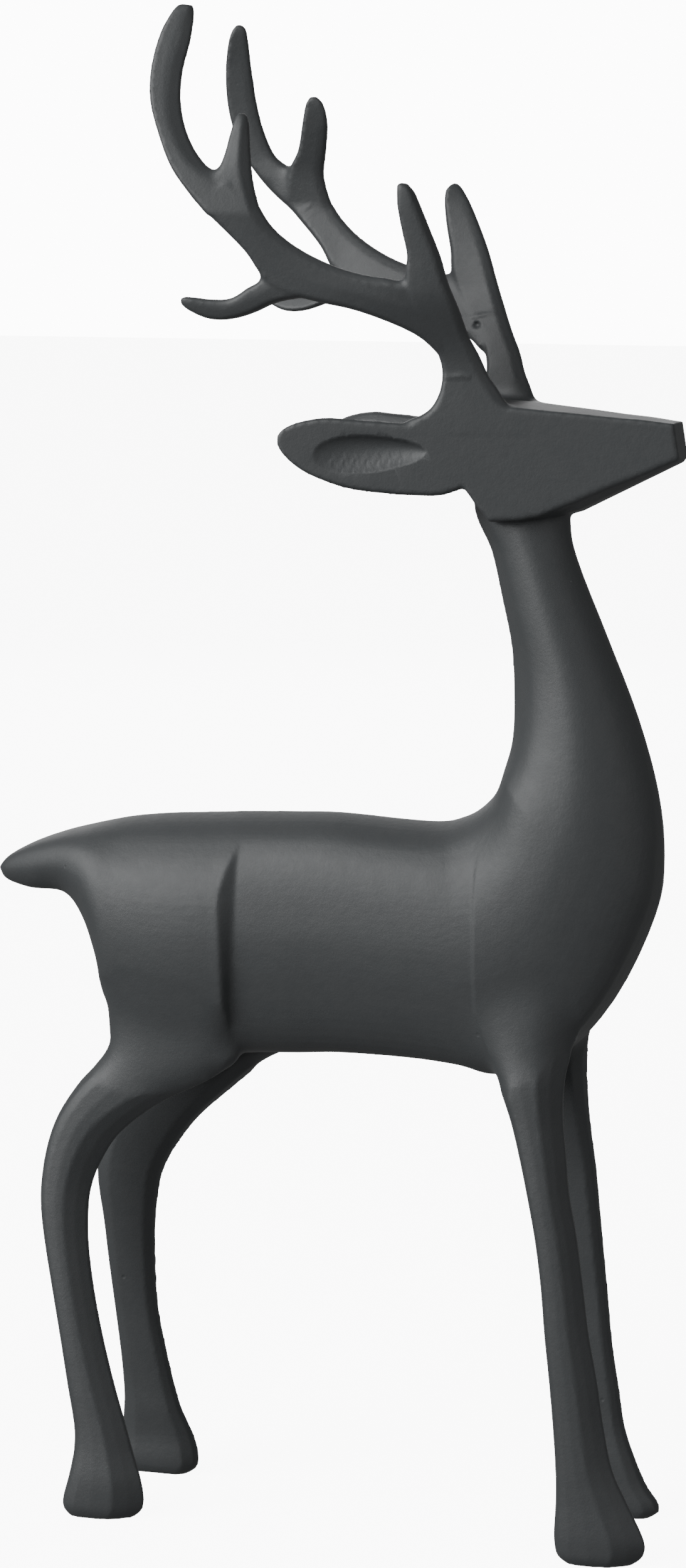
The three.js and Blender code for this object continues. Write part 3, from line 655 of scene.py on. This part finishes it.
for number, (x, z, near, far, reach, width, hollows) in enumerate(FORKS):
    out = np.abs(place[:, 1])
    held = (out > near) & (out < far) & (np.hypot(place[:, 0] - x, place[:, 2] - z) < reach)
    if hollows:
        held &= hollow
    share = held.astype(float)
    for _ in range(width):
        share[edges[:, 0]] = np.maximum(share[edges[:, 0]], share[edges[:, 1]])
        share[edges[:, 1]] = np.maximum(share[edges[:, 0]], share[edges[:, 1]])
    for _ in range(4):
        share = sum_around(share) / meeting
    group = casting.vertex_groups.new(name=f"fork_{number}")
    for level in range(1, 11):
        chosen = np.nonzero(np.ceil(share * 10) == level)[0]
        if len(chosen):
            group.add(chosen.tolist(), level / 10, "REPLACE")
    fillet = casting.modifiers.new("fillet", "SMOOTH")
    fillet.factor = 0.5
    fillet.iterations = 2 * width * width
    fillet.vertex_group = group.name
    bpy.ops.object.modifier_apply(modifier=fillet.name)
casting.vertex_groups.clear()

# The hollow of each ear is a long leaf, deepest near its upper rim, and narrower towards the front.
HOLLOW_X, HOLLOW_HEIGHT, HOLLOW_HALF_LENGTH, HOLLOW_HALF_WIDTH, HOLLOW_DEPTH = 33, 696, 35, 11.5, 5
place, normal, edges = read_skin()
sides = np.sign(place[:, 1])
x, out, z = place[:, 0], np.abs(place[:, 1]), place[:, 2]
along = (x - HOLLOW_X) / HOLLOW_HALF_LENGTH
height = HOLLOW_HALF_WIDTH * (1 - 0.28 * np.clip(along, -1, 1))
across = (z - HOLLOW_HEIGHT - 1.5 * along) / height
bowl = np.clip(1 - along**2 - across**2, 0, 1) ** 0.75
outside = out > side_plane(x) - 3
depth = np.where(outside, HOLLOW_DEPTH * bowl * (1 + 0.35 * across), 0)

# The shoulder has a fine raised edge, which fades out forwards and towards both ends.
SHOULDER_EDGE = 0.8
line = np.interp(z, [296, 320, 345, 443], [124, 108, 100, 99])
raised = np.clip((x - line) / 1.5, 0, 1) * np.clip(1 - (x - line - 3) / 28, 0, 1)
raised = SHOULDER_EDGE * raised * np.clip((446 - z) / 14, 0, 1) * np.clip((z - 300) / 20, 0, 1)
raised = raised * ((out > 30) & (x < 140))

# The hollow's lower half is hammered. The right antler's root keeps a low ridge from the casting, and the left
# stem a seam with a blowhole below it.
HAMMER_DEPTH, RIDGE_RISE, SEAM_RISE, BLOWHOLE_DEPTH = 0.35, 0.7, 0.9, 2.2
RIDGE_HEIGHT, SEAM_HEIGHT, SEAM_X, BLOWHOLE_X, BLOWHOLE_HEIGHT = 742, 779, 80, 78, 773
hammer = np.sin(x * 1.9 + 1.3 * np.sin(z * 1.1)) * np.sin(z * 1.7 + 1.2 * np.sin(x * 0.9))
depth = depth + HAMMER_DEPTH * hammer * np.clip(bowl * 3, 0, 1) * np.clip((698 - z) / 5, 0, 1) * (depth > 0)
ridge = RIDGE_HEIGHT + 2.5 * np.sin((x - 74) / 9)
step = RIDGE_RISE * np.exp(-(((z - ridge) / 1.6) ** 2)) * np.clip(1 - np.abs(x - 88) / 14, 0, 1)
raised = raised + np.where((sides == RIGHT) & (out > 36), step, 0)
blow = np.hypot((x - BLOWHOLE_X) / 2.8, (z - BLOWHOLE_HEIGHT) / 2.4)
seam = np.exp(-(((z - SEAM_HEIGHT - 0.2 * (x - SEAM_X)) / 1.3) ** 2))
seam = seam * np.clip(1 - np.abs(x - SEAM_X) / 13, 0, 1)
scar = SEAM_RISE * seam - BLOWHOLE_DEPTH * np.clip(1 - blow**2, 0, 1)
scarred = (sides == LEFT) & (out < 41) & (np.abs(x - SEAM_X) < 16) & (z > 766) & (z < 790)
place[:, 1] += sides * (raised - depth - np.where(scarred, scar, 0))
moved = np.stack([(place[:, 0] - TAIL_X) * UNIT + low[0], place[:, 1] * UNIT, place[:, 2] * UNIT], 1)
moved[:, 2] = np.maximum(moved[:, 2], 0)
casting.data.vertices.foreach_set("co", moved.ravel())
casting.data.update()

# The skin is thinned where it is smooth, and shaded by its larger faces.
triangles = sum(len(p.vertices) - 2 for p in casting.data.polygons)
trim = casting.modifiers.new("trim", "DECIMATE")
trim.ratio = min(1, MOST_TRIANGLES / triangles)
bpy.ops.object.modifier_apply(modifier=trim.name)
bpy.ops.object.select_all(action="DESELECT")
casting.select_set(True)
bpy.context.view_layer.objects.active = casting
bpy.ops.object.shade_smooth()
even = casting.modifiers.new("even", "WEIGHTED_NORMAL")
even.weight = 60
bpy.ops.object.modifier_apply(modifier=even.name)

# The paint is a matt anthracite, sprayed in one coat over the bare casting.
PAINT_DARK, PAINT_PALE = (0.0272, 0.03, 0.0318, 1), (0.0293, 0.032, 0.0336, 1)
DUST = (0.085, 0.09, 0.093, 1)
GRAIN_DEPTH = 0.00003
paint = bpy.data.materials.new("anthracite_paint")
paint.use_nodes = True
nodes, links = paint.node_tree.nodes, paint.node_tree.links
coat = nodes["Principled BSDF"]
place_on = nodes.new("ShaderNodeTexCoord")


def noise(scale, detail):
    """A noise pattern laid through the casting, in its own metres."""
    pattern_node = nodes.new("ShaderNodeTexNoise")
    pattern_node.inputs["Scale"].default_value = scale
    pattern_node.inputs["Detail"].default_value = detail
    links.new(place_on.outputs["Object"], pattern_node.inputs["Vector"])
    return pattern_node.outputs["Fac"]


def spread(value, start, end, least, most):
    """A value moved from one range to another."""
    ranged = nodes.new("ShaderNodeMapRange")
    for socket, number in (("From Min", start), ("From Max", end), ("To Min", least), ("To Max", most)):
        ranged.inputs[socket].default_value = number
    links.new(value, ranged.inputs["Value"])
    return ranged.outputs["Result"]


def combine(operation, first, second):
    """Two values put together by one operation."""
    sum_node = nodes.new("ShaderNodeMath")
    sum_node.operation = operation
    links.new(first, sum_node.inputs[0])
    links.new(second, sum_node.inputs[1])
    return sum_node.outputs["Value"]


# Fine orange peel of the sprayed coat, the sand's grain below it, a few pinholes and pale specks of dust.
peel = spread(noise(1900, 2), 0.3, 0.7, -0.35, 0.35)
grain = spread(noise(620, 3), 0.3, 0.7, -0.6, 0.6)
waves = spread(noise(70, 2), 0.3, 0.7, -0.9, 0.9)
cells = nodes.new("ShaderNodeTexVoronoi")
cells.inputs["Scale"].default_value = 210
links.new(place_on.outputs["Object"], cells.inputs["Vector"])
chance = nodes.new("ShaderNodeSeparateColor")
links.new(cells.outputs["Color"], chance.inputs["Color"])
pinholes = combine(
    "MULTIPLY",
    spread(cells.outputs["Distance"], 0.06, 0.14, 1, 0),
    spread(chance.outputs["Red"], 0.965, 0.97, 0, -6),
)
height = combine("ADD", combine("ADD", peel, grain), combine("ADD", waves, pinholes))
relief = nodes.new("ShaderNodeBump")
relief.inputs["Strength"].default_value = 0.55
relief.inputs["Distance"].default_value = GRAIN_DEPTH
links.new(height, relief.inputs["Height"])
links.new(relief.outputs["Normal"], coat.inputs["Normal"])
specks = combine(
    "MULTIPLY",
    spread(cells.outputs["Distance"], 0.03, 0.06, 1, 0),
    spread(chance.outputs["Green"], 0.975, 0.98, 0, 1),
)
tint = nodes.new("ShaderNodeMix")
tint.data_type = "RGBA"
tint.inputs[6].default_value = PAINT_DARK
tint.inputs[7].default_value = PAINT_PALE
links.new(spread(noise(260, 4), 0.35, 0.65, 0, 1), tint.inputs[0])
dusted = nodes.new("ShaderNodeMix")
dusted.data_type = "RGBA"
dusted.inputs[7].default_value = DUST
links.new(specks, dusted.inputs[0])
links.new(tint.outputs[2], dusted.inputs[6])
links.new(dusted.outputs[2], coat.inputs["Base Color"])
links.new(spread(noise(330, 3), 0.3, 0.7, 0.545, 0.575), coat.inputs["Roughness"])
casting.data.materials.clear()
casting.data.materials.append(paint)
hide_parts("reindeer")
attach(casting, "root")

# Floor: a plain pale surface.
bpy.ops.object.select_all(action="DESELECT")
bpy.ops.mesh.primitive_plane_add(size=12, location=(0, 0, 0))
floor = bpy.context.object
floor.name = "floor"
pale = bpy.data.materials.new("pale_floor")
pale.use_nodes = True
sheet = pale.node_tree.nodes["Principled BSDF"].inputs
sheet["Base Color"].default_value = (0.86, 0.86, 0.86, 1)
sheet["Roughness"].default_value = 0.9
sheet["Emission Color"].default_value = (1, 1, 1, 1)
sheet["Emission Strength"].default_value = 9
floor.data.materials.append(pale)
floor.visible_diffuse = False
floor.visible_glossy = False

# Light: a wide soft box in front on the left, a weaker one on the right, one behind, and a bright room.
# How strongly the room lights the figure, and how bright its backdrop looks
ROOM_GLOW, ROOM_SEEN = 0.28, 12.0
middle = Vector(in_metres(0, 0, 481))
# Each row: name, azimuth and elevation in degrees, distance and width in metres, power in watts
for name, azimuth, elevation, distance, width, power in (
    ("soft_box_left", -40, 28, 1.6, 1.3, 48),
    ("soft_box_right", 60, 15, 1.8, 0.9, 4),
    ("soft_box_behind", 198, 22, 1.8, 1.3, 13),
):
    turn, rise = math.radians(azimuth), math.radians(elevation)
    towards = Vector((math.sin(turn) * math.cos(rise), -math.cos(turn) * math.cos(rise), math.sin(rise)))
    bpy.ops.object.light_add(type="AREA", location=middle + towards * distance)
    lamp = bpy.context.object
    lamp.name = name
    lamp.data.shape = "SQUARE"
    lamp.data.size = width
    lamp.data.energy = power
    lamp.visible_camera = False
    lamp.rotation_euler = towards.to_track_quat("Z", "Y").to_euler()
room = bpy.data.worlds.new("room")
bpy.context.scene.world = room
room.use_nodes = True
sky, room_links = room.node_tree.nodes["Background"], room.node_tree.links
sky.inputs["Color"].default_value = (1, 1, 1, 1)
rays = room.node_tree.nodes.new("ShaderNodeLightPath")
glow = room.node_tree.nodes.new("ShaderNodeMapRange")
glow.inputs["To Min"].default_value = ROOM_GLOW
glow.inputs["To Max"].default_value = ROOM_SEEN
room_links.new(rays.outputs["Is Camera Ray"], glow.inputs["Value"])
room_links.new(glow.outputs["Result"], sky.inputs["Strength"])

# Camera: a long lens at the photograph's angle.
CAMERA_TURN, CAMERA_RISE, CAMERA_DISTANCE, LENS = 18.1, 8.1, 3000, 107.74
turn, rise = math.radians(CAMERA_TURN), math.radians(CAMERA_RISE)
back = Vector((math.sin(turn) * math.cos(rise), -math.cos(turn) * math.cos(rise), math.sin(rise)))
stand = middle + back * CAMERA_DISTANCE * UNIT
bpy.ops.object.camera_add(location=stand, rotation=back.to_track_quat("Z", "Y").to_euler())
camera = bpy.context.object
camera.data.sensor_width = 36
camera.data.lens = LENS
bpy.context.scene.camera = camera
